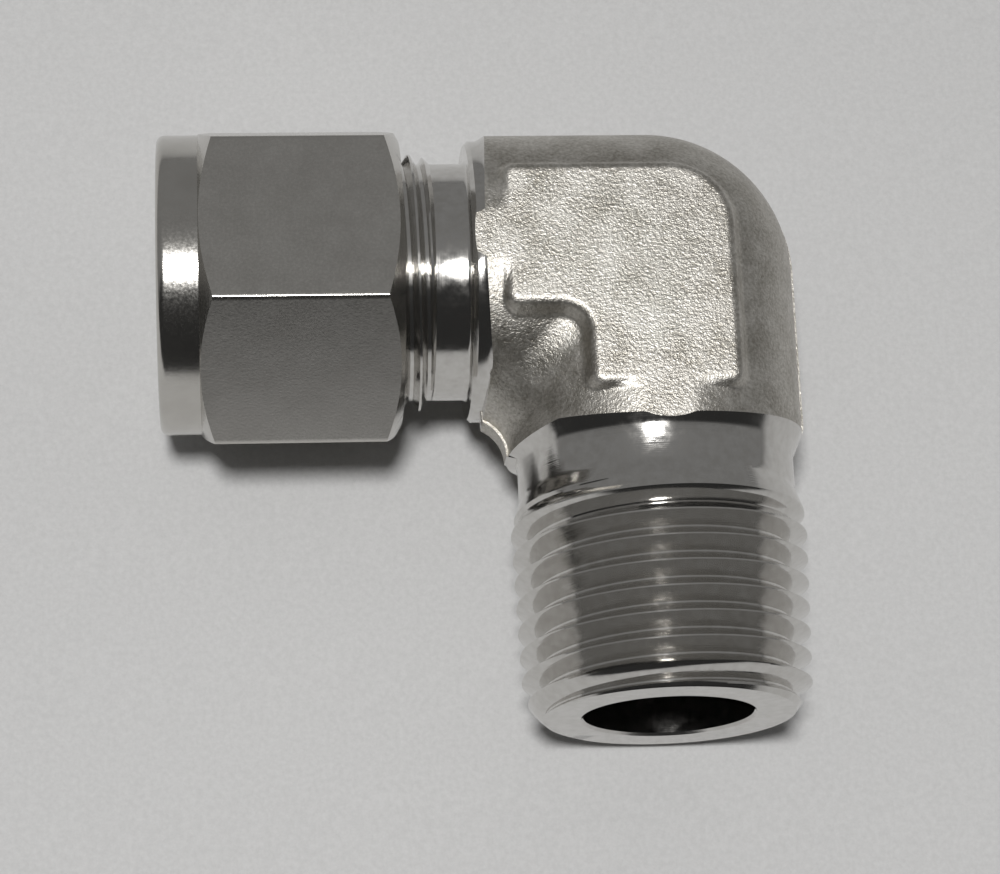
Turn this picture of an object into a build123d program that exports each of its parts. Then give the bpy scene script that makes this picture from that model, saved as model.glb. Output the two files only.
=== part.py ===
from build123d import *

import math
import os

# Male elbow: a half inch tube compression end square to a half inch taper pipe thread.
#
# The fitting lies on its side. The origin is where the axes of the two ports cross, -X leads
# to the tube port, -Y to the pipe thread, and +Z is square to the plane of the elbow. All
# sizes are in millimetres, and a position is a distance outwards from the origin along an arm.

os.makedirs("parts", exist_ok=True)

# Tube, its socket and the flow passages
tube_od = 12.7
socket_clearance = 0.16
socket_depth = 13.0
tube_flow_bore = 10.4
pipe_flow_bore = 12.3
bore_overrun = 1.2
drill_point_half_angle = 59.0

# Forging: two arms of oval section that meet at a round corner
arm_half_width = 10.9
arm_half_height = 10.45
crotch_fillet = 3.0
parting_land_height = 2.2
parting_land_proud = 0.1

# Wrench pads
pad_across = 20.6
pad_half_width = 5.3
pad_reach_tube = 11.1
pad_reach_pipe = 11.4
pad_depth = 4.0
pad_draft_angle = 20.0
pad_outer_corner = 4.6
pad_inner_corner = 2.2
pad_edge_fillet = 0.5
pad_root_fillet = 0.7

# Turned end of the tube arm: rim, relief neck, straight thread and conical seat
rim_position = 13.5
rim_diameter = 20.9
rim_land_length = 0.9
rim_chamfer = 0.3
rim_run_out_angle = 31.0
neck_diameter = 17.6
neck_length = 2.6
tube_thread_major = 19.05
tube_thread_length = 10.1
tube_thread_run_out = 0.7
tube_thread_lead_in = 0.5
seat_half_angle = 12.0

# Turned end of the pipe arm: shoulder, shank and taper thread
pipe_port_reach = 33.3
shank_position = 14.5
shank_diameter = 20.2
shank_length = 2.65
shank_run_out_angle = 23.0
pipe_taper = 1 / 16
pipe_end_major = 20.7
pipe_thread_run_out = 2.0
pipe_end_face_diameter = 18.3
pipe_end_chamfer_length = 1.7
pipe_mouth_chamfer = 0.2

# Nut
nut_across_flats = 22.225
nut_length = 17.7
nut_collar_length = 3.0
nut_collar_diameter = 22.1
nut_collar_chamfer = 0.5
nut_end_face_diameter = 21.2
nut_corner_angle = 30.0
nut_turn = -6.0
nut_tube_clearance = 0.3
nut_end_wall = 4.3
nut_shoulder_half_angle = 75.0
nut_cavity_clearance = 0.2
nut_pull_up = 1.8
nut_thread_clearance = 0.1
nut_mouth_chamfer = 0.6

# Ferrules. A wall is what a ferrule has over its bore.
ferrule_tube_clearance = 0.2
ferrule_gap = 0.05
front_ferrule_wall = 1.3
front_ferrule_length = 8.0
front_ferrule_nose_wall = 0.3
front_ferrule_nose_depth = 4.94
front_ferrule_half_angle = 10.0
front_ferrule_recess = 0.85
back_ferrule_wall = 1.5
back_ferrule_flange = 2.05
back_ferrule_nose_length = 0.75

# Margin by which a cutting profile passes the surface that it cuts
cut_margin = 2.0


def slope(angle):
    """Rise over run of a cone whose half angle is given in degrees."""
    return math.tan(math.radians(angle))


def arm_height(offset):
    """Height of an arm's oval surface at an offset from the arm's axis."""
    return arm_half_height * math.sqrt(1 - (offset / arm_half_width) ** 2)


def pipe_crest_radius(position):
    """Crest radius of the taper thread at a position along the pipe arm."""
    return pipe_end_major / 2 + (pipe_port_reach - position) * pipe_taper / 2


def elbow_outline(half_width, tube_reach, pipe_reach):
    """Corners of an elbow seen from above, with both legs of one width."""
    return [
        (-tube_reach, half_width),
        (half_width, half_width),
        (half_width, -pipe_reach),
        (-half_width, -pipe_reach),
        (-half_width, -half_width),
        (-tube_reach, -half_width),
    ]


def corner_near(sketch, x, y):
    """The corner of a sketch that lies nearest to a point."""
    return sketch.vertices().sort_by_distance((x, y))[0]


def lies_between_arms(edge):
    """Whether an edge runs along the diagonal on the inside of the elbow."""
    middle = edge @ 0.5
    return middle.X < 0 and math.isclose(middle.X, middle.Y)


def reach_of(edge):
    """How far out along the two arms the middle of an edge lies."""
    middle = edge @ 0.5
    return max(-middle.X, -middle.Y)


# Positions on the forging
pad_plane = pad_across / 2
pad_foot_half_width = pad_half_width + pad_depth * slope(pad_draft_angle)
pad_root_heights = (arm_height(pad_foot_half_width), arm_height(pad_half_width))
land_half_width = arm_half_width + parting_land_proud
arm_stock = max(rim_position, shank_position) + crotch_fillet

# Radii round the tube
socket_radius = (tube_od + socket_clearance) / 2
nut_tube_radius = (tube_od + nut_tube_clearance) / 2
ferrule_bore_radius = (tube_od + ferrule_tube_clearance) / 2
front_nose_radius = ferrule_bore_radius + front_ferrule_nose_wall
front_outer_radius = ferrule_bore_radius + front_ferrule_wall
recess_radius = ferrule_bore_radius + front_ferrule_recess
back_outer_radius = ferrule_bore_radius + back_ferrule_wall
nut_cavity_radius = back_outer_radius + nut_cavity_clearance

# Positions on the tube arm
neck_end = rim_position + neck_length
body_tube_end = neck_end + tube_thread_length
socket_end = body_tube_end - socket_depth
rim_run_out = cut_margin / slope(rim_run_out_angle)

# The seat's mouth is as wide as the front ferrule's nose needs to go in to its depth
seat_mouth_radius = front_nose_radius + ferrule_gap + front_ferrule_nose_depth * slope(seat_half_angle)
seat_end = body_tube_end - (seat_mouth_radius - socket_radius) / slope(seat_half_angle)

# Positions on the pipe arm
shank_end = shank_position + shank_length
pipe_thread_start = shank_end + pipe_thread_run_out
pipe_chamfer_start = pipe_port_reach - pipe_end_chamfer_length
shank_run_out = cut_margin / slope(shank_run_out_angle)

# Front ferrule: its nose in the seat, its taper and the recess in its back
front_nose = body_tube_end - front_ferrule_nose_depth
front_taper_rise = front_outer_radius - front_nose_radius
front_taper_end = front_nose + front_taper_rise / slope(front_ferrule_half_angle)
front_back = front_nose + front_ferrule_length
recess_floor = front_back - front_ferrule_recess

# Back ferrule: its nose in that recess and its flange behind it
back_face = front_back + ferrule_gap
back_nose_end = back_face - back_ferrule_nose_length
back_nose_root_radius = recess_radius - ferrule_gap
back_nose_tip_radius = back_nose_root_radius - back_ferrule_nose_length
flange_end = back_face + back_ferrule_flange


def shoulder_position(radius):
    """Position of the nut's drive shoulder, a gap behind the back ferrule, at a radius."""
    rise = back_outer_radius - radius
    return flange_end + ferrule_gap + rise / slope(nut_shoulder_half_angle)


# Positions on the nut, which reaches inwards from its face over its length
tube_port_reach = shoulder_position(nut_tube_radius) + nut_end_wall
nut_inner_end = tube_port_reach - nut_length
nut_hex_end = tube_port_reach - nut_collar_length
nut_stock_radius = nut_across_flats / 2 + cut_margin
nut_thread_radius = tube_thread_major / 2 + nut_thread_clearance
nut_thread_end = body_tube_end + nut_pull_up
nut_step_end = nut_thread_end + nut_thread_radius - nut_cavity_radius

# Body
with BuildPart() as elbow_body:
    # Two oval arms that cross at the origin, left long until the crotch is filleted
    with BuildSketch(Plane.YZ):
        Ellipse(arm_half_width, arm_half_height)
    extrude(amount=-arm_stock)
    with BuildSketch(Plane.XZ):
        Ellipse(arm_half_width, arm_half_height)
    extrude(amount=arm_stock)

    # Round outer corner: the same oval turned a quarter about the vertical
    with BuildSketch(Plane.XZ):
        with BuildLine():
            EllipticalCenterArc(
                (0, 0), arm_half_width, arm_half_height, start_angle=-90, arc_size=180
            )
            Line((0, arm_half_height), (0, -arm_half_height))
        make_face()
    revolve(axis=Axis.Z, revolution_arc=90)

    # The tops of the arms are pressed flat, level with the wrench pads
    with BuildSketch(Plane.XY.offset(-pad_plane)):
        Rectangle(4 * arm_stock, 4 * arm_stock)
    extrude(amount=pad_across, mode=Mode.INTERSECT)

    # Hollow between the arms
    fillet(elbow_body.edges().filter_by(lies_between_arms), radius=crotch_fillet)

    # Trimmed flash land that runs round the parting plane
    with BuildSketch(Plane.XY.offset(-parting_land_height / 2)) as land_outline:
        with BuildLine():
            Polyline(*elbow_outline(land_half_width, arm_stock, arm_stock), close=True)
        make_face()
        fillet(corner_near(land_outline, land_half_width, land_half_width), land_half_width)
        fillet(
            corner_near(land_outline, -land_half_width, -land_half_width),
            crotch_fillet - parting_land_proud,
        )
    extrude(amount=parting_land_height)

    # Wrench pads, drafted as they leave the die, on the top and the bottom
    for side in (1, -1):
        with BuildSketch(Plane.XY.offset(side * pad_plane)) as pad_outline:
            with BuildLine():
                Polyline(
                    *elbow_outline(pad_half_width, pad_reach_tube, pad_reach_pipe), close=True
                )
            make_face()
            fillet(corner_near(pad_outline, pad_half_width, pad_half_width), pad_outer_corner)
            fillet(corner_near(pad_outline, -pad_half_width, -pad_half_width), pad_inner_corner)
        extrude(amount=-side * pad_depth, taper=-pad_draft_angle)

    # Pads rounded along their top edges
    for side in (1, -1):
        fillet(
            elbow_body.faces()
            .filter_by(Plane.XY)
            .sort_by(Axis.Z, reverse=side < 0)[-1]
            .edges()
            .filter_by(GeomType.BSPLINE, reverse=True)
            .filter_by(lambda edge: reach_of(edge) < pad_reach_pipe + pad_edge_fillet),
            radius=pad_edge_fillet,
        )

    # Pads blended into the arms at their roots
    for side in (1, -1):
        fillet(
            elbow_body.edges()
            .filter_by(GeomType.BSPLINE)
            .filter_by_position(Axis.Z, *sorted(side * height for height in pad_root_heights))
            .filter_by(lambda edge: reach_of(edge) < pad_reach_tube),
            radius=pad_root_fillet,
        )

    # Rim turned on the tube arm, with the rest of that arm cut off behind it
    with BuildSketch(Plane.XY):
        with BuildLine():
            Polyline(
                (-rim_position, 0),
                (-rim_position, rim_diameter / 2 - rim_chamfer),
                (-rim_position + rim_chamfer, rim_diameter / 2),
                (-rim_position + rim_land_length, rim_diameter / 2),
                (-rim_position + rim_land_length + rim_run_out, rim_diameter / 2 + cut_margin),
                (-arm_stock - cut_margin, rim_diameter / 2 + cut_margin),
                (-arm_stock - cut_margin, 0),
                close=True,
            )
        make_face()
    revolve(axis=Axis.X, mode=Mode.SUBTRACT)

    # Shoulder turned on the pipe arm
    with BuildSketch(Plane.XY):
        with BuildLine():
            Polyline(
                (0, -shank_position),
                (shank_diameter / 2, -shank_position),
                (shank_diameter / 2 + cut_margin, -shank_position + shank_run_out),
                (shank_diameter / 2 + cut_margin, -arm_stock - cut_margin),
                (0, -arm_stock - cut_margin),
                close=True,
            )
        make_face()
    revolve(axis=Axis.Y, mode=Mode.SUBTRACT)

    # Relief neck and the straight thread at its crests
    with BuildSketch(Plane.XY):
        with BuildLine():
            Polyline(
                (-rim_position, 0),
                (-rim_position, neck_diameter / 2),
                (-neck_end, neck_diameter / 2),
                (-neck_end - tube_thread_run_out, tube_thread_major / 2),
                (-body_tube_end + tube_thread_lead_in, tube_thread_major / 2),
                (-body_tube_end, tube_thread_major / 2 - tube_thread_lead_in),
                (-body_tube_end, 0),
                close=True,
            )
        make_face()
    revolve(axis=Axis.X)

    # Shank, taper thread at its crests and the chamfered end
    with BuildSketch(Plane.XY):
        with BuildLine():
            Polyline(
                (0, -shank_position),
                (shank_diameter / 2, -shank_position),
                (shank_diameter / 2, -shank_end),
                (pipe_crest_radius(pipe_thread_start), -pipe_thread_start),
                (pipe_crest_radius(pipe_chamfer_start), -pipe_chamfer_start),
                (pipe_end_face_diameter / 2, -pipe_port_reach),
                (0, -pipe_port_reach),
                close=True,
            )
        make_face()
    revolve(axis=Axis.Y)

    # Tube socket with its conical seat, then the flow bore with the drill's point
    with BuildSketch(Plane.XY):
        with BuildLine():
            Polyline(
                (bore_overrun + tube_flow_bore / 2 / slope(drill_point_half_angle), 0),
                (bore_overrun, tube_flow_bore / 2),
                (-socket_end, tube_flow_bore / 2),
                (-socket_end, socket_radius),
                (-seat_end, socket_radius),
                (-body_tube_end, seat_mouth_radius),
                (-body_tube_end - cut_margin, seat_mouth_radius),
                (-body_tube_end - cut_margin, 0),
                close=True,
            )
        make_face()
    revolve(axis=Axis.X, mode=Mode.SUBTRACT)

    # Flow bore of the pipe arm, its mouth broken with a small chamfer
    with BuildSketch(Plane.XY):
        with BuildLine():
            Polyline(
                (0, bore_overrun + pipe_flow_bore / 2 / slope(drill_point_half_angle)),
                (pipe_flow_bore / 2, bore_overrun),
                (pipe_flow_bore / 2, -pipe_port_reach - cut_margin),
                (0, -pipe_port_reach - cut_margin),
                close=True,
            )
        make_face()
    revolve(axis=Axis.Y, mode=Mode.SUBTRACT)
    end_circles = elbow_body.edges().filter_by(GeomType.CIRCLE).group_by(Axis.Y)[0]
    chamfer(end_circles.sort_by(SortBy.RADIUS)[0], length=pipe_mouth_chamfer)

elbow_body.part.label = "elbow_body"
export_step(elbow_body.part, "parts/elbow_body.step")

# Nut
with BuildPart() as tube_nut:
    with BuildSketch(Plane.YZ.offset(-nut_hex_end)):
        RegularPolygon(nut_across_flats / 2, 6, major_radius=False, rotation=nut_turn)
    extrude(amount=nut_hex_end - nut_inner_end)

    # Corners turned back at both ends of the hexagon
    collar_rise = nut_stock_radius - nut_collar_diameter / 2
    end_face_rise = nut_stock_radius - nut_end_face_diameter / 2
    with BuildSketch(Plane.XY):
        with BuildLine():
            Polyline(
                (-nut_hex_end, 0),
                (-nut_hex_end, nut_collar_diameter / 2),
                (-nut_hex_end + collar_rise * slope(nut_corner_angle), nut_stock_radius),
                (-nut_inner_end - end_face_rise * slope(nut_corner_angle), nut_stock_radius),
                (-nut_inner_end, nut_end_face_diameter / 2),
                (-nut_inner_end, 0),
                close=True,
            )
        make_face()
    revolve(axis=Axis.X, mode=Mode.INTERSECT)

    # Round collar at the tube's end
    with BuildSketch(Plane.YZ.offset(-tube_port_reach)):
        Circle(nut_collar_diameter / 2)
    extrude(amount=nut_collar_length)
    chamfer(tube_nut.faces().sort_by(Axis.X)[0].edges(), length=nut_collar_chamfer)

    # Tube bore, drive shoulder, ferrule cavity and the thread's bore
    with BuildSketch(Plane.XY):
        with BuildLine():
            Polyline(
                (-tube_port_reach - cut_margin, 0),
                (-tube_port_reach - cut_margin, nut_tube_radius),
                (-shoulder_position(nut_tube_radius), nut_tube_radius),
                (-shoulder_position(nut_cavity_radius), nut_cavity_radius),
                (-nut_step_end, nut_cavity_radius),
                (-nut_thread_end, nut_thread_radius),
                (-nut_inner_end - nut_mouth_chamfer, nut_thread_radius),
                (-nut_inner_end + cut_margin, nut_thread_radius + nut_mouth_chamfer + cut_margin),
                (-nut_inner_end + cut_margin, 0),
                close=True,
            )
        make_face()
    revolve(axis=Axis.X, mode=Mode.SUBTRACT)

tube_nut.part.label = "tube_nut"
export_step(tube_nut.part, "parts/tube_nut.step")

# Front ferrule, with its nose in the seat and a recess in its back
with BuildPart() as front_ferrule:
    with BuildSketch(Plane.XY):
        with BuildLine():
            Polyline(
                (-front_nose, ferrule_bore_radius),
                (-front_nose, front_nose_radius),
                (-front_taper_end, front_outer_radius),
                (-front_back, front_outer_radius),
                (-front_back, recess_radius),
                (-recess_floor, ferrule_bore_radius),
                close=True,
            )
        make_face()
    revolve(axis=Axis.X)

front_ferrule.part.label = "front_ferrule"
export_step(front_ferrule.part, "parts/front_ferrule.step")

# Back ferrule, with its nose in that recess and its back along the nut's shoulder
with BuildPart() as back_ferrule:
    with BuildSketch(Plane.XY):
        with BuildLine():
            Polyline(
                (-back_nose_end, ferrule_bore_radius),
                (-back_nose_end, back_nose_tip_radius),
                (-back_face, back_nose_root_radius),
                (-back_face, back_outer_radius),
                (-flange_end, back_outer_radius),
                (-shoulder_position(ferrule_bore_radius) + ferrule_gap, ferrule_bore_radius),
                close=True,
            )
        make_face()
    revolve(axis=Axis.X)

back_ferrule.part.label = "back_ferrule"
export_step(back_ferrule.part, "parts/back_ferrule.step")
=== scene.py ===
"""Looks of the elbow fitting: a blasted forging with bright turned ends, its nut and two ferrules.

Lengths are in millimetres until a mesh is made. A position d is a distance outwards from the
origin along an arm: the tube arm leads to -X and the pipe arm to -Y.
"""

import logging
import math
from dataclasses import dataclass
from enum import Enum
from typing import Callable

import bmesh
import bpy
import numpy as np
from mathutils import Matrix, Vector


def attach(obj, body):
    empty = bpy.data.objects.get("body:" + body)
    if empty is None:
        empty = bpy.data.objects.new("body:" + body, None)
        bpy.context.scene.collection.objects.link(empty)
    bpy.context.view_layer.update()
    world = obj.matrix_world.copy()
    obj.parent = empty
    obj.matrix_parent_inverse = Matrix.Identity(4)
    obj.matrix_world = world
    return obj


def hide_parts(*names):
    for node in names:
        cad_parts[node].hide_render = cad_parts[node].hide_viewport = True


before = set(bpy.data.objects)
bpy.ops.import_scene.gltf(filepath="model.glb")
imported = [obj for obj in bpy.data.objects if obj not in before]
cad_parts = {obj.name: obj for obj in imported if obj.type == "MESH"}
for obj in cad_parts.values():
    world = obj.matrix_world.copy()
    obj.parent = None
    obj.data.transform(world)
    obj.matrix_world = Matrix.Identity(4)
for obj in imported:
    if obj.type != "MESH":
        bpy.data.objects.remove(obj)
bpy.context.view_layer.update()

log = logging.getLogger("elbow")
Array = np.ndarray
Socket = bpy.types.NodeSocket
Range = tuple[float, float]
Colour = tuple[float, float, float, float]
MM = 0.001
TURN = 2 * math.pi
# Keeps divisions by a length or a slope clear of nil
TINY = 1e-9
LEAST_SLOPE = 1e-3


class Arm(Enum):
    """The two arms, each with the axis across it from which angles are counted towards +Z."""

    TUBE = "tube"
    PIPE = "pipe"

    def place(self, d: Array, r: Array, angle: Array) -> Array:
        """Points of an arm from their cylinder coordinates.

        Args:
            d: positions along the arm.
            r: radii about its axis.
            angle: angles about the axis, from +Y (tube arm) or +X (pipe arm) towards +Z.

        Returns:
            An array of the same shape with x, y and z in its last place.
        """
        d, r, angle = np.broadcast_arrays(d, r, angle)
        side, up = r * np.cos(angle), r * np.sin(angle)
        if self is Arm.TUBE:
            return np.stack([-d, side, up], axis=-1)
        return np.stack([side, -d, up], axis=-1)

    def read(self, points: Array) -> tuple[Array, Array, Array]:
        """Cylinder coordinates of points: position, radius and angle about this arm's axis."""
        along, side = (0, 1) if self is Arm.TUBE else (1, 0)
        angle = np.unwrap(np.arctan2(points[..., 2], points[..., side]))
        return -points[..., along], np.hypot(points[..., side], points[..., 2]), angle


def tangent(degrees: float) -> float:
    """Rise over run of a line at an angle in degrees."""
    return math.tan(math.radians(degrees))


def round_union(a: Array, b: Array, radius: Array) -> Array:
    """Two solids joined with a fillet.

    Where both gaps are under the radius, the joined gap is the one to a quarter circle.

    Args:
        a: gaps to the first solid, negative inside it.
        b: gaps to the second solid.
        radius: radius of the fillet.

    Returns:
        Gaps to the joined solid.
    """
    corner = np.hypot(np.maximum(radius - a, 0), np.maximum(radius - b, 0))
    return np.maximum(radius, np.minimum(a, b)) - corner


def round_cut(a: Array, b: Array, radius: Array) -> Array:
    """What two solids share, its edge rounded: the mirror of round_union.

    Args:
        a: gaps to the first solid, negative inside it.
        b: gaps to the second solid.
        radius: radius of the rounded edge.

    Returns:
        Gaps to the shared solid.
    """
    return -round_union(-a, -b, radius)


def solve(gap: Callable[[Array], Array], low: Array, high: Array, steps: int = 34) -> Array:
    """Where a gap turns from negative to positive, found by halving each interval.

    Args:
        gap: the gap as a function of an array of parameters.
        low: parameters at which the gap is negative.
        high: parameters at which it is positive.
        steps: number of halvings.

    Returns:
        The parameter of each crossing.
    """
    low, high = np.array(low, dtype=float), np.array(high, dtype=float)
    for _ in range(steps):
        middle = (low + high) / 2
        inside = gap(middle) < 0
        low, high = np.where(inside, middle, low), np.where(inside, high, middle)
    return (low + high) / 2


class Shell:
    """A closed surface sewn together from grids of points."""

    merge_distance = 2e-7
    sliver_length = 1e-7

    def __init__(self) -> None:
        """Starts with no points."""
        self.points: list[Array] = []
        self.quads: list[Array] = []
        self.count = 0

    def add(self, grid: Array) -> None:
        """Adds a sheet of quads over a grid of points in millimetres, rows by columns by 3."""
        rows, columns = grid.shape[:2]
        index = np.arange(rows * columns).reshape(rows, columns) + self.count
        quads = np.stack([index[:-1, :-1], index[1:, :-1], index[1:, 1:], index[:-1, 1:]], axis=-1)
        self.points.append(grid.reshape(-1, 3))
        self.quads.append(quads.reshape(-1, 4))
        self.count += rows * columns

    def finish(self, name: str, sharp: float) -> bpy.types.Object:
        """Makes the object: seams merged, faces outwards, edges sharp where the surface bends far.

        Args:
            name: the piece's name.
            sharp: angle in degrees past which an edge is sharp.

        Returns:
            The new object, at the origin with its place in its mesh.
        """
        mesh = bpy.data.meshes.new(name)
        mesh.from_pydata(np.concatenate(self.points) * MM, [], np.concatenate(self.quads))
        sewn = bmesh.new()
        sewn.from_mesh(mesh)
        bmesh.ops.remove_doubles(sewn, verts=sewn.verts, dist=self.merge_distance)
        bmesh.ops.dissolve_degenerate(sewn, edges=sewn.edges, dist=self.sliver_length)
        bmesh.ops.recalc_face_normals(sewn, faces=sewn.faces)
        open_edges = sum(1 for edge in sewn.edges if len(edge.link_faces) != 2)
        volume = sewn.calc_volume(signed=True)
        sewn.to_mesh(mesh)
        sewn.free()
        mesh.polygons.foreach_set("use_smooth", np.ones(len(mesh.polygons), dtype=bool))
        mesh.set_sharp_from_angle(angle=math.radians(sharp))
        piece = bpy.data.objects.new(name, mesh)
        bpy.context.scene.collection.objects.link(piece)
        faces = len(mesh.polygons)
        log.info("%s: %d faces, %d open edges, %.0f mm3", name, faces, open_edges, volume / MM**3)
        return piece


@dataclass(frozen=True)
class Thread:
    """A right-hand thread of triangular form, with narrow flats on its crests and roots.

    Args:
        pitch: distance from crest to crest.
        crest_at: position of one crest on the arm's upper side.
        crest_flat: width of a crest's flat as a share of the pitch.
        root_flat: width of a root's flat as a share of the pitch.
    """

    pitch: float
    crest_at: float
    crest_flat: float
    root_flat: float

    def turns(self, arm: Arm, angle: Array) -> Array:
        """How many pitches a crest moves outwards from the upper side to an angle about the arm."""
        hand = -1 if arm is Arm.TUBE else 1
        return hand * (angle - math.pi / 2) / TURN

    def depth_share(self, arm: Arm, d: Array, angle: Array) -> Array:
        """Share of the full depth at a place: 0 on a crest, 1 in a root, straight flanks between."""
        phase = (d - self.crest_at) / self.pitch - self.turns(arm, angle)
        off_crest = np.abs(phase - np.round(phase))
        run = 0.5 - (self.crest_flat + self.root_flat) / 2
        return np.clip((off_crest - self.crest_flat / 2) / run, 0, 1)

    def rows(self, arm: Arm, start: float, end: float, angle: Array, flank_steps: int) -> Array:
        """Positions of rows that follow the helix, so that crests and roots stay crisp.

        Each row keeps to one place on the thread's form and moves along by a pitch a turn. Rows
        are held between the two ends, where they run together and are merged.

        Args:
            arm: the arm that carries the thread.
            start: where the thread begins.
            end: where it ends.
            angle: angles of the columns.
            flank_steps: number of rows on each flank.

        Returns:
            Positions, rows by columns.
        """
        half_crest, half_root = self.crest_flat / 2, self.root_flat / 2
        flank = np.linspace(half_crest, 0.5 - half_root, flank_steps + 1)
        form = np.concatenate([flank, 1 - flank[::-1]])
        first = math.floor((start - self.crest_at) / self.pitch) - 2
        last = math.ceil((end - self.crest_at) / self.pitch) + 2
        phase = (np.arange(first, last)[:, None] + form[None, :]).ravel()
        d = self.crest_at + self.pitch * (phase[:, None] + self.turns(arm, angle)[None, :])
        return np.clip(d, start, end)


@dataclass(frozen=True)
class TubeSizes:
    """Sizes of the tube arm's turned end and of what goes round the tube, as in the CAD."""

    stop: float = 13.2
    bore: float = 5.2
    socket: float = 6.43
    run_out_angle: float = 31.0
    rim_start: float = 12.6
    rim: float = 10.45
    rim_chamfer: float = 0.3
    rim_face: float = 13.5
    neck: float = 8.8
    neck_end: float = 16.1
    neck_fillet: float = 0.35
    crest: float = 9.525
    lead_in: float = 0.5
    end: float = 26.2
    seat_mouth: float = 7.85
    seat_angle: float = 12.0

    def cut(self, d: Array) -> Array:
        """Radius to which the tube arm is turned: a cone, then the rim and its chamfer."""
        cone = np.maximum(self.rim_start - d, 0) * tangent(self.run_out_angle)
        chamfer = np.maximum(d - self.rim_face + self.rim_chamfer, 0)
        return self.rim + cone - chamfer


@dataclass(frozen=True)
class PipeSizes:
    """Sizes of the pipe arm's turned end, as in the CAD."""

    bore: float = 6.15
    run_out_angle: float = 23.0
    shank: float = 10.1
    shank_start: float = 14.5
    shank_end: float = 17.15
    thread_start: float = 19.15
    chamfer_start: float = 31.6
    end: float = 33.3
    end_crest: float = 10.35
    end_face: float = 9.15
    depth: float = 1.38
    mouth_chamfer: float = 0.2

    def taper(self, d: Array | float) -> Array | float:
        """Crest radius of the taper thread, which grows by 1 in 32 of the distance from the end."""
        return self.end_crest + (self.end - d) / 32

    def cut(self, d: Array) -> Array:
        """Radius to which the pipe arm is turned: a cone from the forging to the shank."""
        return self.shank + np.maximum(self.shank_start - d, 0) * tangent(self.run_out_angle)


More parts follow.
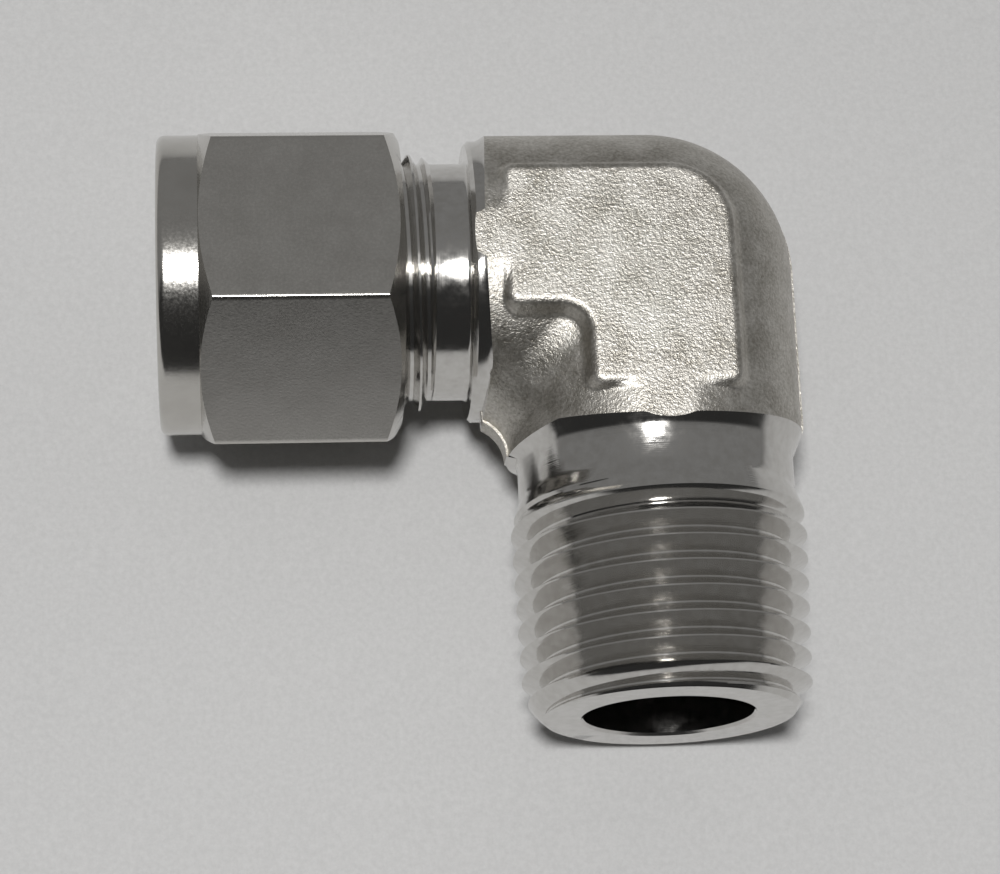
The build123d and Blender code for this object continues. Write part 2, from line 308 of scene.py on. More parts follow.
@dataclass
class Forging:
    """The forged elbow between its turned ends, a fan of sections through the hollow of the elbow.

    Each section plane is upright and turns about the upright line through hinge. A ray in it
    leaves the arms' centre line at an angle, and its end on the forging's surface is one point of
    the grid.
    """

    tube: TubeSizes
    pipe: PipeSizes
    half_width: float = 10.9
    half_height: float = 10.45
    crotch: float = 3.0
    top: float = 10.3
    land_half: float = 1.1
    land_proud: float = 0.1
    pad_half: float = 5.3
    pad_tube: float = 11.1
    pad_pipe: float = 11.4
    pad_outer: float = 4.6
    pad_inner: float = 2.2
    pad_end_corner: float = 0.8
    pad_draft: float = 20.0
    pad_edge: float = 0.5
    pad_root: float = 0.7
    root_growth: float = 1.2
    edge_growth: float = 1.4
    blend: float = 0.5
    drill_angle: float = 59.0
    bore_overrun: float = 1.2
    fan_margins: tuple[float, float] = (0.08, 0.02)
    fan_steps: int = 420
    hinge_gap: float = 0.2
    longest_ray: float = 26.0
    outline_limit: float = 14.0
    land_limit: float = 25.0
    endless: float = 60.0
    wall_foot: tuple[float, float] = (1.6, 8.3)
    edge_inset: float = 0.7
    row_counts: tuple[int, ...] = (1, 1, 26, 22, 12)
    tube_end_range: tuple[float, float] = (13.55, 10.6)
    pipe_end_start: float = 11.2
    end_steps: int = 30
    columns: int = 230
    column_bias: float = 0.09
    passage_columns: int = 61
    sharp: float = 40.0

    def __post_init__(self) -> None:
        """Works out the hinge of the fan and the table of row angles over the fan."""
        self.hinge = (self.tube.stop, self.pipe.shank_start)
        before, past = self.fan_margins
        self.table_fan = np.linspace(-before, math.pi / 2 + past, self.fan_steps)
        self.table = self._row_angles(self.table_fan)

    def arms(self, x: Array, y: Array, z: Array) -> Array:
        """Gap to the two oval arms. Each is an oval swept along its axis and turned at the corner.

        The fillet between them grows with the angle between their surfaces, so it is full in the
        hollow and fades towards the top.
        """
        high = z * self.half_width / self.half_height
        x_in, y_in = np.maximum(x, 0), np.maximum(y, 0)
        tube = np.sqrt(x_in**2 + y**2 + high**2) + TINY
        pipe = np.sqrt(x**2 + y_in**2 + high**2) + TINY
        alike = (x_in * x + y * y_in + high**2) / (tube * pipe)
        radius = self.crotch * np.clip(1 - alike, 0, 1)
        return round_union(tube - self.half_width, pipe - self.half_width, radius)

    def pad_outline(self, x: Array, y: Array, tube_reach: float, pipe_reach: float) -> Array:
        """Gap to the pad's outline: two boxes with round corners, filleted inside, cut round outside."""

        def round_corner(u: Array, v: Array, radius: float) -> Array:
            """Gap to a quarter plane with a round corner, u and v measured from the arc's centre."""
            arc = np.hypot(np.maximum(u, 0), np.maximum(v, 0))
            return arc + np.minimum(np.maximum(u, v), 0) - radius

        def leg(u: Array, v: Array, reach: float) -> Array:
            """Gap to one leg's box, which runs back from the outer edge along u."""
            middle, half_length = (self.pad_half - reach) / 2, (self.pad_half + reach) / 2
            across = np.abs(u - middle) - half_length + self.pad_end_corner
            along = np.abs(v) - self.pad_half + self.pad_end_corner
            return round_corner(across, along, self.pad_end_corner)

        inner = np.where((x < 0) & (y < 0), self.pad_inner, 0.0)
        both = round_union(leg(x, y, tube_reach), leg(y, x, pipe_reach), inner)
        centre = self.pad_half - self.pad_outer
        return np.maximum(both, round_corner(x - centre, y - centre, self.pad_outer))

    def outside(self, x: Array, y: Array, z: Array) -> Array:
        """Gap to the forging: arms and drafted pads filleted together, cut flat, and the land."""
        arms = self.arms(x, y, z)
        draft = math.radians(self.pad_draft)
        outline = self.pad_outline(x, y, self.pad_tube, self.pad_pipe)
        walls = (outline - (self.top - np.abs(z)) * math.tan(draft)) * math.cos(draft)
        # How far the arm's surface leans from the wall and from the flat top sets both radii
        high = np.abs(z) * (self.half_width / self.half_height) ** 2
        reach = np.where(x + y < 0, np.minimum(np.abs(x), np.abs(y)), np.hypot(x, y))
        lean = high / np.sqrt(high**2 + reach**2 + TINY)
        across = np.sqrt(np.maximum(1 - lean**2, 0))
        alike = np.clip(across * math.cos(draft) + lean * math.sin(draft), 0, 1)
        joined = round_union(arms, walls, self.pad_root * (1 - alike) * self.root_growth)
        share = np.clip((arms - walls) / self.blend + 0.5, 0, 1)
        upward = lean * (1 - share) + math.sin(draft) * share
        edge = self.pad_edge * np.clip(self.edge_growth * (1 - upward), 0, 1)
        cut = round_cut(joined, np.abs(z) - self.top, edge)
        side = self.arms(x, y, np.zeros_like(z)) - self.land_proud
        return np.minimum(cut, np.maximum(side, np.abs(z) - self.land_half))

    def passage(self, x: Array, y: Array, z: Array) -> Array:
        """Gap to the two flow bores, which end in drill points just past the corner."""
        point = tangent(self.drill_angle)

        def drilled(across: Array, past: Array, bore: float) -> Array:
            """Gap to one bore and its drill point, past being the distance past the corner."""
            return np.maximum(across - bore, past - self.bore_overrun - (bore - across) / point)

        tube = drilled(np.hypot(y, z), x, self.tube.bore)
        pipe = drilled(np.hypot(x, z), y, self.pipe.bore)
        return np.minimum(tube, pipe)

    def _centre(self, fan: Array) -> Array:
        """Distance from the hinge at which a section plane meets the arms' centre line."""
        turn = math.atan2(self.hinge[0], self.hinge[1])
        sine = np.where(fan < turn, 1.0, np.sin(fan))
        return np.where(fan < turn, self.hinge[1] / np.cos(fan), self.hinge[0] / sine)

    def _at(self, fan: Array, level: Array, height: Array) -> tuple[Array, Array, Array]:
        """Place of a point in its section plane, level being its distance from the hinge."""
        x, y = level * np.sin(fan) - self.hinge[0], level * np.cos(fan) - self.hinge[1]
        return x, y, height + np.zeros_like(level)

    def surface(self, gap: Callable[..., Array], fan: Array, ray: Array) -> Array:
        """Where rays meet a surface.

        Args:
            gap: gap to the surface as a function of x, y and z.
            fan: angle of each section plane.
            ray: angle of each ray in its plane, from outwards through up.

        Returns:
            Points, with x, y and z in the last place.
        """
        centre, level, lift = self._centre(fan), np.cos(ray), np.sin(ray)
        far = np.minimum(self.longest_ray, (centre - self.hinge_gap) / np.maximum(-level, LEAST_SLOPE))
        near = np.zeros_like(far)
        length = solve(lambda t: gap(*self._at(fan, centre + t * level, t * lift)), near, far)
        return np.stack(self._at(fan, centre + length * level, length * lift), axis=-1)

    def _row_angles(self, fan: Array) -> Array:
        """Ray angles of all rows over the fan, with rows on the land's edges and close at the pad's.

        Args:
            fan: angles of the section planes.

        Returns:
            Angles, planes by rows, from the outer side over the top to the hollow and back below.
        """
        centre = self._centre(fan)

        def edge(gap: Callable[..., Array], sign: float, far: float) -> Array:
            """Level distance from the centre line to where a gap at z = 0 is nil."""
            inwards = np.minimum(far, centre - self.hinge_gap)
            limit = inwards if sign < 0 else np.full_like(centre, far)
            near = np.zeros_like(limit)
            return solve(lambda t: gap(*self._at(fan, centre + sign * t, 0.0)), near, limit)

        def strip(x: Array, y: Array, z: Array) -> Array:
            """Gap to the pad's outline with legs without end."""
            return self.pad_outline(x, y, self.endless, self.endless)

        def land(x: Array, y: Array, z: Array) -> Array:
            """Gap to the parting land's upright side."""
            return self.arms(x, y, np.zeros_like(x)) - self.land_proud

        def foot(x: Array, y: Array, z: Array) -> Array:
            """Gap to the arm at the height of the land's edge."""
            return self.arms(x, y, np.full_like(x, self.land_half))

        just_above = 1e-4
        foot_out, foot_height = self.wall_foot
        sides = []
        for sign in (1, -1):
            pad = edge(strip, sign, self.outline_limit)
            knots = [
                np.zeros_like(fan),
                np.arctan2(self.land_half, edge(land, sign, self.land_limit)),
                np.arctan2(self.land_half, edge(foot, sign, self.land_limit)) + just_above,
                np.arctan2(foot_height, pad + foot_out),
                np.arctan2(self.top, pad - self.edge_inset),
                np.full_like(fan, math.pi / 2),
            ]
            parts = [
                a[:, None] + (b - a)[:, None] * np.arange(n) / n
                for a, b, n in zip(knots[:-1], knots[1:], self.row_counts)
            ]
            sides.append(np.concatenate(parts, axis=1))
        outer, inner = sides
        upright = np.full((len(fan), 1), math.pi / 2)
        upper = np.concatenate([outer, upright, math.pi - inner[:, ::-1]], axis=1)
        return np.concatenate([upper, TURN - upper[:, -2::-1]], axis=1)

    def rows(self, fan: Array) -> Array:
        """Ray angles for fan angles given column by row, read between the lines of the table."""
        place = (fan - self.table_fan[0]) / (self.table_fan[1] - self.table_fan[0])
        below = np.clip(place.astype(int), 0, len(self.table_fan) - 2)
        share = place - below
        row = np.arange(self.table.shape[1]) + np.zeros_like(below)
        return self.table[below, row] * (1 - share) + self.table[below + 1, row] * share

    def ends(self) -> tuple[Array, Array]:
        """Fan angles at which each row's surface meets the tube arm's and the pipe arm's turned cut."""
        count = self.table.shape[1]
        reach, depth = self.hinge

        def tube_gap(fan: Array) -> Array:
            """How far the surface stands out of the tube arm's turned form, from the end inwards."""
            d, r, _ = Arm.TUBE.read(self.surface(self.outside, fan, self.rows(fan)))
            return self.tube.cut(d) - r

        def pipe_gap(fan: Array) -> Array:
            """How far the surface stands out of the pipe arm's turned form."""
            d, r, _ = Arm.PIPE.read(self.surface(self.outside, fan, self.rows(fan)))
            return r - self.pipe.cut(d)

        low, high = (math.atan2(reach - d, depth) for d in self.tube_end_range)
        tube = solve(tube_gap, np.full(count, low), np.full(count, high), self.end_steps)
        low, high = math.atan2(reach, depth - self.pipe_end_start), math.pi / 2
        pipe = solve(pipe_gap, np.full(count, low), np.full(count, high), self.end_steps)
        return tube, pipe

    def build(self) -> tuple[bpy.types.Object, Array, Array]:
        """Makes the forging.

        Returns:
            The object, the ring of points where the tube end begins, and the pipe end's ring.
        """
        start, stop = self.ends()
        even = np.linspace(0, 1, self.columns)
        # Columns stand closer near both ends, where the pads run out
        share = even - self.column_bias * np.sin(TURN * even)
        fan = start[None, :] + (stop - start)[None, :] * share[:, None]
        skin = self.surface(self.outside, fan, self.rows(fan))
        quarter = np.linspace(0, math.pi / 2, self.passage_columns)
        inner_fan = quarter[:, None] + np.zeros_like(start)[None, :]
        bore = self.surface(self.passage, inner_fan, self.rows(inner_fan))
        shell = Shell()
        shell.add(skin)
        shell.add(bore)
        shell.add(np.stack([skin[0], bore[0]]))
        shell.add(np.stack([skin[-1], bore[-1]]))
        return shell.finish("forged_elbow", self.sharp), skin[0], skin[-1]


def outline_rows(arm: Arm, angle: Array, steps: list[tuple[float, float]]) -> Array:
    """A turned profile carried round an arm: one row of the grid at each position and radius."""
    profile = np.array(steps)
    return arm.place(profile[:, :1], profile[:, 1:], angle[None, :])


@dataclass
class TubeEnd:
    """The tube arm's turned end: cone, rim, relief neck, straight thread, conical seat and socket."""

    sizes: TubeSizes
    thread: Thread
    flank_steps: int = 3
    fillet_steps: int = 6
    cone_margin: float = 0.3
    neck_margin: float = 0.2
    sharp: float = 35.0

    def thread_radius(self, d: Array, angle: Array) -> Array:
        """Crest radius less the groove, held under the neck's run-out and the end's lead-in."""
        s = self.sizes
        grooved = s.crest - (s.crest - s.neck) * self.thread.depth_share(Arm.TUBE, d, angle)
        run_out = s.neck + (d - s.neck_end)
        lead_in = s.crest - np.maximum(d - s.end + s.lead_in, 0)
        return np.minimum(np.minimum(grooved, run_out), lead_in)

    def build(self, ring: Array) -> bpy.types.Object:
        """Makes the piece from the ring of points where the forging ends."""
        s = self.sizes
        ring = np.concatenate([ring, ring[:1]])
        begin, _, angle = Arm.TUBE.read(ring)
        cut = []
        for d in (s.rim_start - self.cone_margin, s.rim_start, s.rim_face - s.rim_chamfer, s.rim_face):
            held = np.maximum(d, begin)
            cut.append(Arm.TUBE.place(held, s.cut(held), angle))
        bend = [
            (s.rim_face + s.neck_fillet * (1 - math.cos(a)), s.neck + s.neck_fillet * (1 - math.sin(a)))
            for a in np.linspace(0, math.pi / 2, self.fillet_steps)
        ]
        neck = outline_rows(Arm.TUBE, angle, bend + [(s.neck_end - self.neck_margin, s.neck)])
        d = self.thread.rows(Arm.TUBE, s.neck_end, s.end, angle, self.flank_steps)
        thread = Arm.TUBE.place(d, self.thread_radius(d, angle[None, :]), angle[None, :])
        seat_end = s.end - (s.seat_mouth - s.socket) / tangent(s.seat_angle)
        inside = outline_rows(
            Arm.TUBE,
            angle,
            [(s.end, s.seat_mouth), (seat_end, s.socket), (s.stop, s.socket), (s.stop, s.bore)],
        )
        shell = Shell()
        shell.add(np.concatenate([ring[None], np.stack(cut), neck, thread, inside, ring[None]]))
        return shell.finish("tube_end", self.sharp)


@dataclass
class PipeEnd:
    """The pipe arm's turned end: cone, shank, taper thread, chamfer, end face and bore."""

    sizes: PipeSizes
    thread: Thread
    fade_start: float = 17.5
    fade_end: float = 20.7
    flank_steps: int = 4
    cone_margin: float = 0.4
    shank_margin: float = 0.3
    sharp: float = 35.0

    def blank(self, d: Array) -> Array:
        """Radius over the crests: shank, short run-up, taper and the chamfer at the end."""
        s = self.sizes
        top, face = s.taper(s.thread_start), s.taper(s.chamfer_start)
        share = np.clip((d - s.shank_end) / (s.thread_start - s.shank_end), 0, 1)
        run_up = s.shank + (top - s.shank) * share
        chamfer = face - (face - s.end_face) * (d - s.chamfer_start) / (s.end - s.chamfer_start)
        crests = np.where(d < s.thread_start, run_up, s.taper(d))
        return np.where(d > s.chamfer_start, np.minimum(crests, chamfer), crests)

    def thread_radius(self, d: Array, angle: Array) -> Array:
        """The blank less the groove, whose floor rises to the shank over the last turns."""
        s = self.sizes
        fade = np.clip((d - self.fade_start) / (self.fade_end - self.fade_start), 0, 1)
        groove = s.taper(d) - s.depth * fade * self.thread.depth_share(Arm.PIPE, d, angle)
        return np.minimum(self.blank(d), groove)

    def build(self, ring: Array) -> bpy.types.Object:
        """Makes the piece from the ring of points where the forging ends."""
        s = self.sizes
        ring = np.concatenate([ring, ring[:1]])
        begin, _, angle = Arm.PIPE.read(ring)
        held = np.maximum(s.shank_start - self.cone_margin, begin)
        cone = Arm.PIPE.place(held, s.cut(held), angle)
        shank_stop = s.shank_end - self.shank_margin
        shank = outline_rows(Arm.PIPE, angle, [(s.shank_start, s.shank), (shank_stop, s.shank)])
        d = self.thread.rows(Arm.PIPE, s.shank_end, s.end, angle, self.flank_steps)
        thread = Arm.PIPE.place(d, self.thread_radius(d, angle[None, :]), angle[None, :])
        inside = outline_rows(
            Arm.PIPE,
            angle,
            [
                (s.end, s.bore + s.mouth_chamfer),
                (s.end - s.mouth_chamfer, s.bore),
                (s.shank_start, s.bore),
            ],
        )
        shell = Shell()
        shell.add(np.concatenate([ring[None], cone[None], shank, thread, inside, ring[None]]))
        return shell.finish("pipe_end", self.sharp)


@dataclass
class TubeNut:
    """The hexagonal nut with its round collar, the drive shoulder and the thread inside."""

    body: TubeSizes
    thread: Thread
    reach: float = 36.0985
    length: float = 17.7
    half_flats: float = 11.1125
    turn: float = -6.0
    corner_radius: float = 0.3
    collar_length: float = 3.0
    collar: float = 11.05
    collar_fillet: float = 0.6
    end_face: float = 10.6
    corner_angle: float = 30.0
    tube_hole: float = 6.5
    hole_chamfer: float = 0.2
    shoulder: float = 31.7985
    shoulder_angle: float = 75.0
    cavity: float = 8.15
    thread_end: float = 28.0
    thread_clearance: float = 0.1
    minor: float = 8.93
    mouth_chamfer: float = 0.6
    steps: int = 17
    step_power: float = 2.2
    flat_rows: tuple[float, ...] = (0, 0.02, 0.25, 0.5, 0.75, 0.98, 1)
    collar_step: float = 0.25
    fillet_steps: int = 8
    flank_steps: int = 3
    sharp: float = 30.0

    def angles(self) -> Array:
        """Angles of the columns, close together at the corners of the hexagon."""
        share = np.linspace(-1, 1, 2 * self.steps - 1)[:-1]
        offset = 30 * np.sign(share) * np.abs(share) ** self.step_power
        corner = self.turn + 60 * np.arange(6)
        degrees = (corner[:, None] + offset[None, :]).ravel()
        return np.radians(np.append(degrees, degrees[0] + 360))

    def hexagon(self, angle: Array) -> Array:
        """Radius of the hexagon: flats, and near a corner an arc about a centre inside it."""
        step = math.radians(60)
        off = (angle - math.radians(self.turn) + step / 2) % step - step / 2
        flat = self.half_flats / np.cos(step / 2 - np.abs(off))
        centre = (self.half_flats - self.corner_radius) / math.cos(step / 2)
        inside = np.maximum(self.corner_radius**2 - (centre * np.sin(off)) ** 2, 0)
        arc = centre * np.cos(off) + np.sqrt(inside)
        arc_reach = centre + self.corner_radius * math.cos(step / 2)
        on_arc = np.abs(off) < math.atan2(self.corner_radius / 2, arc_reach)
        return np.where(on_arc, arc, flat)

    def thread_radius(self, d: Array, angle: Array) -> Array:
        """Radius of the inner thread: the body's with a clearance all round, its crests cut back."""
        depth = self.body.crest - self.body.neck
        body = self.body.crest - depth * self.thread.depth_share(Arm.TUBE, d, angle)
        return np.maximum(body + self.thread_clearance, self.minor)

    def build(self) -> bpy.types.Object:
        """Makes the nut as one closed surface, over the outside and back through the hole."""
        angle = self.angles()
        inner, face = self.reach - self.length, self.reach
        hex_end = face - self.collar_length
        hexagon = self.hexagon(angle)
        slant = tangent(self.corner_angle)
        first = inner + (hexagon - self.end_face) * slant
        last = hex_end - (hexagon - self.collar) * slant
        major = self.body.crest + self.thread_clearance
        mouth_steps = [(inner, major + self.mouth_chamfer), (inner, self.end_face)]
        mouth = outline_rows(Arm.TUBE, angle, mouth_steps)
        share = np.array(self.flat_rows)[:, None]
        flats = Arm.TUBE.place(first + (last - first) * share, hexagon[None, :], angle[None, :])
        bend = np.linspace(0, math.pi / 2, self.fillet_steps)
        collar_steps = [(hex_end, self.collar), (hex_end + self.collar_step, self.collar)]
        collar_steps += [
            (
                face - self.collar_fillet * (1 - math.sin(a)),
                self.collar - self.collar_fillet * (1 - math.cos(a)),
            )
            for a in bend
        ]
        shoulder_rise = (self.cavity - self.tube_hole) / tangent(self.shoulder_angle)
        collar_steps += [
            (face, self.tube_hole + self.hole_chamfer),
            (face - self.hole_chamfer, self.tube_hole),
            (self.shoulder, self.tube_hole),
            (self.shoulder - shoulder_rise, self.cavity),
            (self.thread_end + major - self.cavity, self.cavity),
        ]
        outside = outline_rows(Arm.TUBE, angle, collar_steps)
        start = inner + self.mouth_chamfer
        d = self.thread.rows(Arm.TUBE, start, self.thread_end, angle, self.flank_steps)
        thread = Arm.TUBE.place(d, self.thread_radius(d, angle[None, :]), angle[None, :])
        shell = Shell()
        shell.add(np.concatenate([mouth, flats, outside, thread[::-1], mouth[:1]]))
        return shell.finish("nut_shell", self.sharp)


@dataclass
class Ferrules:
    """The two ferrules, turned rings with small rounded edges that seal on the tube."""

    nose: float = 21.26
    bore: float = 6.45
    columns: int = 97
    edge: float = 0.05
    sharp: float = 50.0

    def _ring(self, name: str, corners: list[tuple[float, float]]) -> bpy.types.Object:
        """A ring whose section has the given corners, each one broken by a small chamfer."""
        loop = np.array(corners)
        before, after = np.roll(loop, 1, axis=0) - loop, np.roll(loop, -1, axis=0) - loop
        before /= np.linalg.norm(before, axis=1)[:, None]
        after /= np.linalg.norm(after, axis=1)[:, None]
        broken = np.stack([loop + self.edge * before, loop + self.edge * after], axis=1).reshape(-1, 2)
        closed = np.concatenate([broken, broken[:1]])
        angle = np.linspace(0, TURN, self.columns)
        shell = Shell()
        shell.add(outline_rows(Arm.TUBE, angle, [tuple(corner) for corner in closed]))
        return shell.finish(name, self.sharp)

    def build(self) -> tuple[bpy.types.Object, bpy.types.Object]:
        """Makes the front ferrule, then the back one behind it."""
        n, b = self.nose, self.bore
        front_corners = [(0, b), (0, 6.75), (5.671, 7.75), (8, 7.75), (8, 7.3), (7.15, b)]
        back_corners = [(7.3, b), (7.3, 6.5), (8.05, 7.25), (8.05, 7.95), (10.1, 7.95), (10.5, b)]
        front = self._ring("front_ring", [(n + d, r) for d, r in front_corners])
        back = self._ring("back_ring", [(n + d, r) for d, r in back_corners])
        return front, back


class Nodes:
    """A short way of writing a material's node tree."""

    def __init__(self, tree: bpy.types.NodeTree) -> None:
        """Empties the tree."""
        self.tree = tree
        tree.nodes.clear()

    def add(self, kind: str, links: dict[str | int, object], **settings: object) -> bpy.types.Node:
        """Adds a node.

        Args:
            kind: the node's type.
            links: for each input, a constant or the output socket that feeds it.
            settings: values of the node's own properties.

        Returns:
            The new node.
        """
        node = self.tree.nodes.new(kind)
        for name, value in settings.items():
            setattr(node, name, value)
        for key, value in links.items():
            if isinstance(value, bpy.types.NodeSocket):
                self.tree.links.new(value, node.inputs[key])
            else:
                node.inputs[key].default_value = value
        return node

    def math(self, operation: str, a: object, b: object = 0.0) -> Socket:
        """A Math node's output."""
        return self.add("ShaderNodeMath", {0: a, 1: b}, operation=operation).outputs[0]

    def noise(self, vector: object, scale: float, detail: float = 2.0, rough: float = 0.5) -> Socket:
        """Fractal noise in three dimensions."""
        links = {"Vector": vector, "Scale": scale, "Detail": detail, "Roughness": rough}
        return self.add("ShaderNodeTexNoise", links).outputs[0]

    def rings(self, along: object, side: object, up: object, scale: float) -> Socket:
        """Noise that follows radius less position on an axis, so rings lie on faces and cylinders."""
        square = self.math("ADD", self.math("MULTIPLY", side, side), self.math("MULTIPLY", up, up))
        reach = self.math("SUBTRACT", self.math("SQRT", square), along)
        links = {"W": reach, "Scale": scale, "Detail": 2.0}
        return self.add("ShaderNodeTexNoise", links, noise_dimensions="1D").outputs[0]

    def span(self, value: object, given: Range, wanted: Range, kind: str = "LINEAR") -> Socket:
        """A value carried from the given range to the wanted one and held inside it."""
        links = {0: value, 1: given[0], 2: given[1], 3: wanted[0], 4: wanted[1]}
        return self.add("ShaderNodeMapRange", links, interpolation_type=kind).outputs[0]

    def metal(
        self, colour: Socket, roughness: Socket, height: Socket, strength: float, depth: float
    ) -> None:
        """Ends a metal's tree.

        Args:
            colour: its colour.
            roughness: its roughness.
            height: height of its grain, from 0 to about 1.
            strength: strength of the bump.
            depth: depth of the grain in millimetres.
        """
        links = {"Strength": strength, "Distance": depth * MM, "Height": height}
        bump = self.add("ShaderNodeBump", links).outputs[0]
        links = {"Base Color": colour, "Metallic": 1.0, "Roughness": roughness, "Normal": bump}
        self.surface(self.add("ShaderNodeBsdfPrincipled", links))

    def surface(self, shader: bpy.types.Node) -> None:
        """Links a shader to the material's output."""
        self.add("ShaderNodeOutputMaterial", {"Surface": shader.outputs[0]})

    def blend(self, share: object, a: object, b: object) -> Socket:
        """A mix of two colours."""
        node = self.tree.nodes.new("ShaderNodeMix")
        node.data_type = "RGBA"
        for index, value in ((0, share), (6, a), (7, b)):
            if isinstance(value, bpy.types.NodeSocket):
                self.tree.links.new(value, node.inputs[index])
            else:
                node.inputs[index].default_value = value
        return node.outputs[2]


def new_material(name: str) -> tuple[bpy.types.Material, Nodes, Socket]:
    """An empty node material, its tree and its Object coordinates."""
    material = bpy.data.materials.new(name)
    material.use_nodes = True
    nodes = Nodes(material.node_tree)
    return material, nodes, nodes.add("ShaderNodeTexCoord", {}).outputs["Object"]


@dataclass(frozen=True)
class BlastedFinish:
    """Shot-blasted forged steel: small dents that sparkle, patches of warmer and cooler grey."""

    light: Colour = (0.66, 0.64, 0.60, 1.0)
    dark: Colour = (0.33, 0.31, 0.27, 1.0)
    dent_size: float = 0.25
    patch_size: float = 2.6
    dent_share: float = 0.55
    grit_share: float = 0.35
    roughness: Range = (0.36, 0.46)
    bump: Range = (0.85, 0.07)

    def material(self) -> bpy.types.Material:
        """Makes the material."""
        material, nodes, place = new_material("blasted_steel")
        dents = nodes.noise(place, 1 / (self.dent_size * MM), 3.0, 0.65)
        grit = nodes.noise(place, 2.4 / (self.dent_size * MM), 1.0)
        patch = nodes.noise(place, 1 / (self.patch_size * MM), 3.0, 0.6)
        fine = nodes.math("MULTIPLY", dents, self.dent_share)
        tone = nodes.math("ADD", fine, nodes.math("MULTIPLY", patch, 1 - self.dent_share))
        colour = nodes.blend(nodes.span(tone, (0.36, 0.64), (0.0, 1.0)), self.dark, self.light)
        height = nodes.math("ADD", dents, nodes.math("MULTIPLY", grit, self.grit_share))
        nodes.metal(colour, nodes.span(patch, (0.3, 0.7), self.roughness), height, *self.bump)
        return material


@dataclass(frozen=True)
class TurnedFinish:
    """Bright turned steel: fine rings left by the tool round the arm's axis."""

    name: str
    arm: Arm
    colour: Colour = (0.66, 0.65, 0.63, 1.0)
    worn: Colour = (0.45, 0.43, 0.40, 1.0)
    worn_share: float = 0.35
    roughness: float = 0.11
    ring_scale: float = 9000.0
    mark_scale: float = 1400.0
    mark_share: float = 0.5
    bump: Range = (0.35, 0.012)

    def material(self) -> bpy.types.Material:
        """Makes the material."""
        material, nodes, place = new_material(self.name)
        axes = nodes.add("ShaderNodeSeparateXYZ", {0: place}).outputs
        along, side = (axes[0], axes[1]) if self.arm is Arm.TUBE else (axes[1], axes[0])
        rings = nodes.rings(along, side, axes[2], self.ring_scale)
        marks = nodes.noise(place, self.mark_scale, 3.0, 0.6)
        height = nodes.math("ADD", rings, nodes.math("MULTIPLY", marks, self.mark_share))
        worn = nodes.span(marks, (0.35, 0.65), (0.0, self.worn_share))
        colour = nodes.blend(worn, self.colour, self.worn)
        rough = nodes.span(marks, (0.3, 0.7), (self.roughness - 0.03, self.roughness + 0.06))
        nodes.metal(colour, rough, height, *self.bump)
        return material


@dataclass(frozen=True)
class SatinFinish:
    """Satin steel of the nut: fine grain on the flats, turned rings on the collar and the end faces."""

    colour: Colour = (0.60, 0.585, 0.555, 1.0)
    worn: Colour = (0.50, 0.485, 0.455, 1.0)
    worn_share: float = 0.5
    collar_start: float = 33.05
    collar_polish: float = 0.04
    roughness: Range = (0.17, 0.25)
    ring_scale: float = 8000.0
    grain_scale: float = 5200.0
    grain_share: float = 0.7
    patch_scale: float = 420.0
    bump: Range = (0.3, 0.012)

    def material(self) -> bpy.types.Material:
        """Makes the material."""
        material, nodes, place = new_material("satin_steel")
        axes = nodes.add("ShaderNodeSeparateXYZ", {0: place}).outputs
        on_collar = nodes.math("LESS_THAN", axes[0], -self.collar_start * MM)
        rings = nodes.rings(axes[0], axes[1], axes[2], self.ring_scale)
        grain = nodes.noise(place, self.grain_scale, 2.0, 0.6)
        patch = nodes.noise(place, self.patch_scale, 3.0, 0.6)
        turned = nodes.math("MULTIPLY", rings, on_collar)
        height = nodes.math("ADD", turned, nodes.math("MULTIPLY", grain, self.grain_share))
        worn = nodes.span(patch, (0.35, 0.65), (0.0, self.worn_share))
        colour = nodes.blend(worn, self.colour, self.worn)
        polish = nodes.math("MULTIPLY", on_collar, -self.collar_polish)
        rough = nodes.math("ADD", nodes.span(grain, (0.3, 0.7), self.roughness), polish)
        nodes.metal(colour, rough, height, *self.bump)
        return material


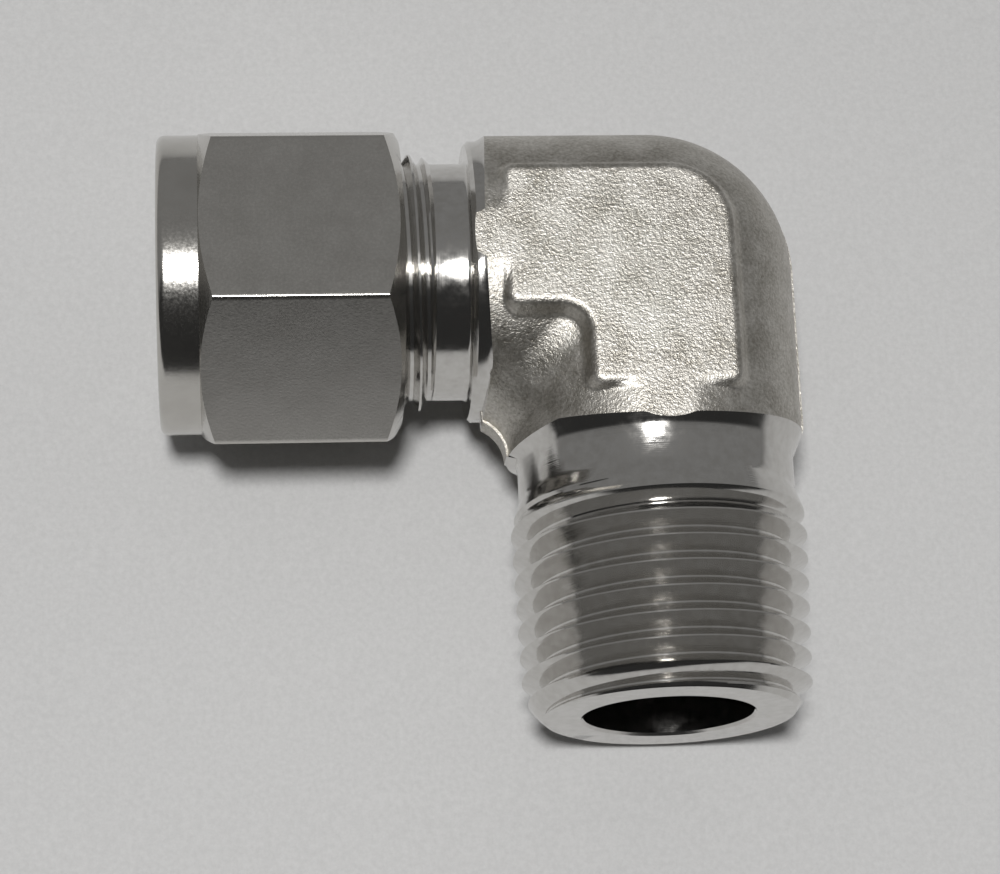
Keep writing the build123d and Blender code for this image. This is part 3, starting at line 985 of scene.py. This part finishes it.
@dataclass
class Studio:
    """The camera, the pale floor, the small key light and the dim grey room round them."""

    eye: tuple[float, float, float] = (-30.925, -85.247, 228.696)
    yaw: float = 0.262
    pitch: float = 1.251
    roll: float = 0.234
    lens: float = 118.32
    key_tilt: float = 13.6
    key_distance: float = 600.0
    key_width: float = 95.0
    key_power: float = 2.7
    key_colour: tuple[float, float, float] = (1.0, 0.993, 0.982)
    floor_half: float = 1500.0
    floor_touch: Range = (5.22, -11.74)
    floor_slope: float = 0.0353
    floor_grey: float = 0.60
    floor_speck: float = 0.035
    floor_cloud: float = 0.01
    room_colour: Colour = (1.0, 0.995, 0.985, 1.0)
    room_turn: Range = (-0.30, 0.0)
    room_grey: Range = (0.03, 0.22)
    room_seen: float = 0.62

    def axes(self) -> tuple[Array, Array, Array]:
        """The camera's right, up and forward directions from its yaw, pitch and roll."""
        level = math.cos(self.pitch)
        across, ahead = math.sin(self.yaw) * level, math.cos(self.yaw) * level
        forward = np.array([across, ahead, -math.sin(self.pitch)])
        right = np.cross(forward, (0, 0, 1))
        right /= np.linalg.norm(right)
        up = np.cross(right, forward)
        cosine, sine = math.cos(self.roll), math.sin(self.roll)
        return cosine * right + sine * up, cosine * up - sine * right, forward

    def camera(self) -> None:
        """Places the camera where the picture was taken from."""
        right, up, forward = self.axes()
        data = bpy.data.cameras.new("view")
        data.lens, data.sensor_width = self.lens, 36.0
        data.clip_start, data.clip_end = 0.01, 20.0
        camera = bpy.data.objects.new("view", data)
        turned = np.eye(4)
        turned[:3, 0], turned[:3, 1], turned[:3, 2] = right, up, -forward
        turned[:3, 3] = np.array(self.eye) * MM
        camera.matrix_world = Matrix(turned.tolist())
        bpy.context.scene.collection.objects.link(camera)
        bpy.context.scene.camera = camera

    def key(self) -> None:
        """The key light: a disc near the camera, tilted from it towards the top of the picture."""
        _, up, _ = self.axes()
        tilt = math.radians(self.key_tilt)
        away = np.array(self.eye) / np.linalg.norm(self.eye)
        across = up - away * float(up @ away)
        across /= np.linalg.norm(across)
        direction = away * math.cos(tilt) + across * math.sin(tilt)
        data = bpy.data.lights.new("key", "AREA")
        data.shape, data.size, data.energy = "DISK", self.key_width * MM, self.key_power
        data.color = self.key_colour
        lamp = bpy.data.objects.new("key", data)
        lamp.location = Vector(direction * self.key_distance * MM)
        lamp.rotation_euler = Vector(-direction).to_track_quat("-Z", "Y").to_euler()
        bpy.context.scene.collection.objects.link(lamp)

    def floor(self) -> None:
        """The floor: a large plane that touches the nut's lowest edge and the end of the pipe arm."""
        side = self.floor_half
        y = np.array([-side, side])
        touch_y, touch_z = self.floor_touch
        z = touch_z + self.floor_slope * (touch_y - y)
        points = [(-side, y[0], z[0]), (side, y[0], z[0]), (side, y[1], z[1]), (-side, y[1], z[1])]
        mesh = bpy.data.meshes.new("floor")
        mesh.from_pydata(np.array(points) * MM, [], [(0, 1, 2, 3)])
        floor = bpy.data.objects.new("floor", mesh)
        bpy.context.scene.collection.objects.link(floor)
        material, nodes, place = new_material("floor_board")
        speck = nodes.noise(place, 2600.0, 3.0, 0.7)
        broad = nodes.noise(place, 9.0, 1.0)
        specks = nodes.span(speck, (0.3, 0.7), (-self.floor_speck, self.floor_speck))
        clouds = nodes.span(broad, (0.3, 0.7), (-self.floor_cloud, self.floor_cloud))
        tone = nodes.math("ADD", nodes.math("ADD", specks, clouds), self.floor_grey)
        colour = nodes.add("ShaderNodeCombineColor", {0: tone, 1: tone, 2: tone}).outputs[0]
        nodes.surface(nodes.add("ShaderNodeBsdfPrincipled", {"Base Color": colour, "Roughness": 0.9}))
        mesh.materials.append(material)

    def room(self) -> None:
        """The room as metal sees it: mid grey above, near black towards -Y, and pale to the camera."""
        world = bpy.data.worlds.new("room")
        bpy.context.scene.world = world
        world.use_nodes = True
        nodes = Nodes(world.node_tree)
        place = nodes.add("ShaderNodeTexCoord", {}).outputs["Generated"]
        axes = nodes.add("ShaderNodeSeparateXYZ", {0: place}).outputs
        grey = nodes.span(axes[1], self.room_turn, self.room_grey, "SMOOTHSTEP")
        seen = nodes.add("ShaderNodeLightPath", {}).outputs["Is Camera Ray"]
        unseen = nodes.math("MULTIPLY", grey, nodes.math("SUBTRACT", 1.0, seen))
        strength = nodes.math("ADD", unseen, nodes.math("MULTIPLY", seen, self.room_seen))
        background = nodes.add("ShaderNodeBackground", {"Color": self.room_colour, "Strength": strength})
        nodes.add("ShaderNodeOutputWorld", {"Surface": background.outputs[0]})

    def build(self) -> None:
        """Sets up the camera, the floor, the light and the room."""
        bpy.context.scene.view_settings.view_transform = "Standard"
        self.camera()
        self.key()
        self.floor()
        self.room()


def dress(
    piece: bpy.types.Object, material: bpy.types.Material, body: str, node: str
) -> None:
    """Gives a piece its material and its place in the frame.

    Args:
        piece: the new object.
        material: its material.
        body: the CAD body that it rides on.
        node: the CAD node that it stands for.
    """
    piece.data.materials.append(material)
    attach(piece, body)
    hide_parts(node)
    log.info("%s rides on %s", piece.name, body)


def main() -> None:
    """Builds the forging, its turned ends, the nut, the ferrules and the studio."""
    logging.basicConfig(level=logging.INFO, format="%(message)s")
    tube, pipe = TubeSizes(), PipeSizes()
    straight = Thread(pitch=1.27, crest_at=17.4, crest_flat=0.13, root_flat=0.2)
    taper = Thread(pitch=1.8143, crest_at=20.9, crest_flat=0.06, root_flat=0.07)

    forged, tube_ring, pipe_ring = Forging(tube, pipe).build()
    body_pieces = [
        (forged, BlastedFinish()),
        (TubeEnd(tube, straight).build(tube_ring), TurnedFinish("turned_tube_end", Arm.TUBE)),
        (PipeEnd(pipe, taper).build(pipe_ring), TurnedFinish("turned_pipe_end", Arm.PIPE)),
    ]
    for piece, finish in body_pieces:
        dress(piece, finish.material(), "elbow body", "elbow_body")
    nut = TubeNut(tube, straight).build()
    dress(nut, SatinFinish().material(), "nut", "tube_nut")
    rings = TurnedFinish("turned_ferrule", Arm.TUBE, roughness=0.24).material()
    for ring, node in zip(Ferrules().build(), ("front_ferrule", "back_ferrule")):
        dress(ring, rings, "ferrules", node)
    Studio().build()


if __name__ == "__main__":
    main()
